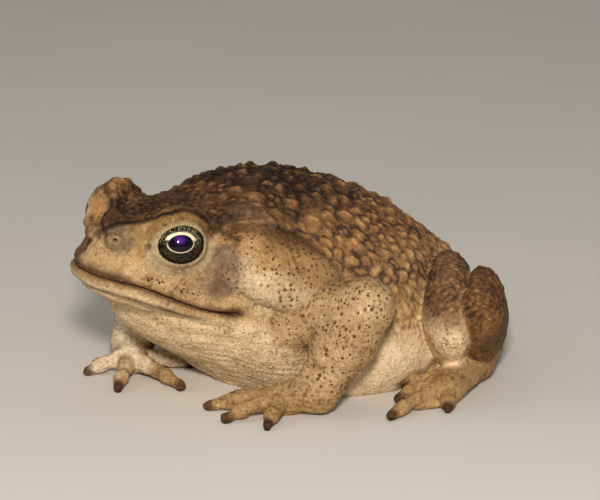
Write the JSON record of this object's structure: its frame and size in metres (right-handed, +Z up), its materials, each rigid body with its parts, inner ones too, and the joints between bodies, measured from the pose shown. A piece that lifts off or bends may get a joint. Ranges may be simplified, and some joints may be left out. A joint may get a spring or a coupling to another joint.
{
  "type": "cane toad model",
  "caption": "Life-size still model of a cane toad sitting with its forelegs apart, head raised and hind legs folded",
  "frame": {"origin": "on the floor below the middle of the model's box", "axes": "+Z up; the toad faces -Y and its left side is at +X"},
  "size_m": [0.1166, 0.1146, 0.0527],
  "materials": {
    "skin_head": "matt, slightly moist tan-brown skin",
    "skin_belly": "fine-grained cream skin",
    "skin_back": "warty dark brown skin with tan-orange warts",
    "skin_gland": "finely pitted tan skin",
    "skin_ear": "thin grey-brown skin",
    "skin_limb": "tan skin with small dark dots",
    "skin_leg": "tan to reddish-brown warty skin",
    "eye": "wet, glossy dark eye with a gold-flecked iris"
  },
  "bodies": {
    "root": {"head": "skin_head", "lower_jaw": "skin_belly", "torso": "skin_back", "parotoid_left": "skin_gland", "parotoid_right": "skin_gland", "tympanum_left": "skin_ear", "tympanum_right": "skin_ear", "eye_left": "eye", "eye_right": "eye", "upper_arm_left": "skin_limb", "upper_arm_right": "skin_limb", "forearm_left": "skin_limb", "forearm_right": "skin_limb", "hand_left": "skin_limb", "hand_right": "skin_limb", "thigh_left": "skin_leg", "thigh_right": "skin_leg", "shank_left": "skin_leg", "shank_right": "skin_leg", "foot_left": "skin_limb", "foot_right": "skin_limb"}
  },
  "joints": []
}
